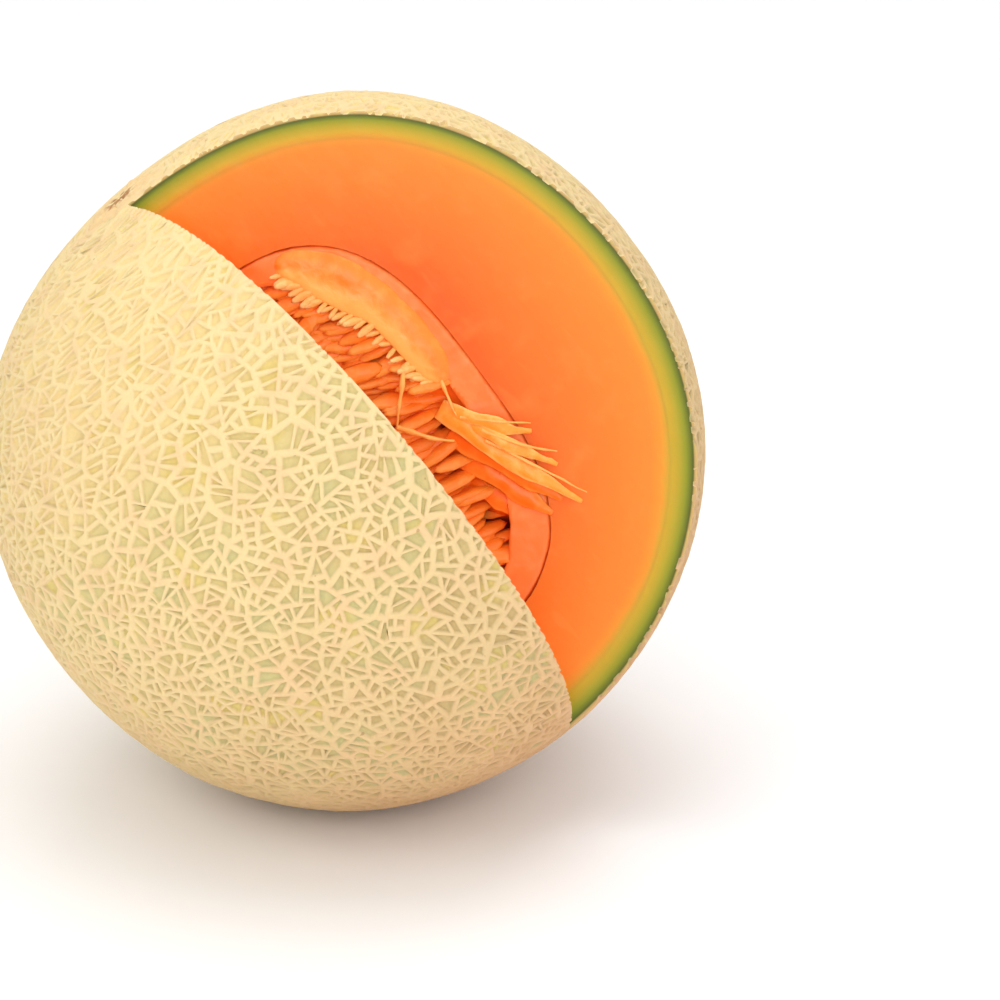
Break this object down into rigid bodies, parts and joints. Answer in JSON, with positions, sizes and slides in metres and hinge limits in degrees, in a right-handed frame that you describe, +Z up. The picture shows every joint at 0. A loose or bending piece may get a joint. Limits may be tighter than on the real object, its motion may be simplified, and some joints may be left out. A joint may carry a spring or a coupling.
{
  "type": "cantaloupe melon",
  "caption": "Round netted melon with a wedge cut out of it, showing orange flesh and a seed cavity, lying on a small flat spot.",
  "frame": {"origin": "centre of the object's base, on the small flat spot the melon lies on", "axes": "+Z up; the stem end leans to -X and the cut opens to the front right (-Y, +X) and up"},
  "size_m": [0.1538, 0.1514, 0.1516],
  "materials": {
    "rind": "netted rind, cream net over pale green-yellow skin",
    "flesh": "moist orange flesh, green toward the rind",
    "seed_pulp": "wet stringy pulp with seeds",
    "stem_scar": "dry cork"
  },
  "bodies": {
    "root": {"rind": "rind", "flesh": "flesh", "seed_pulp": "seed_pulp", "stem_scar": "stem_scar"}
  },
  "joints": []
}
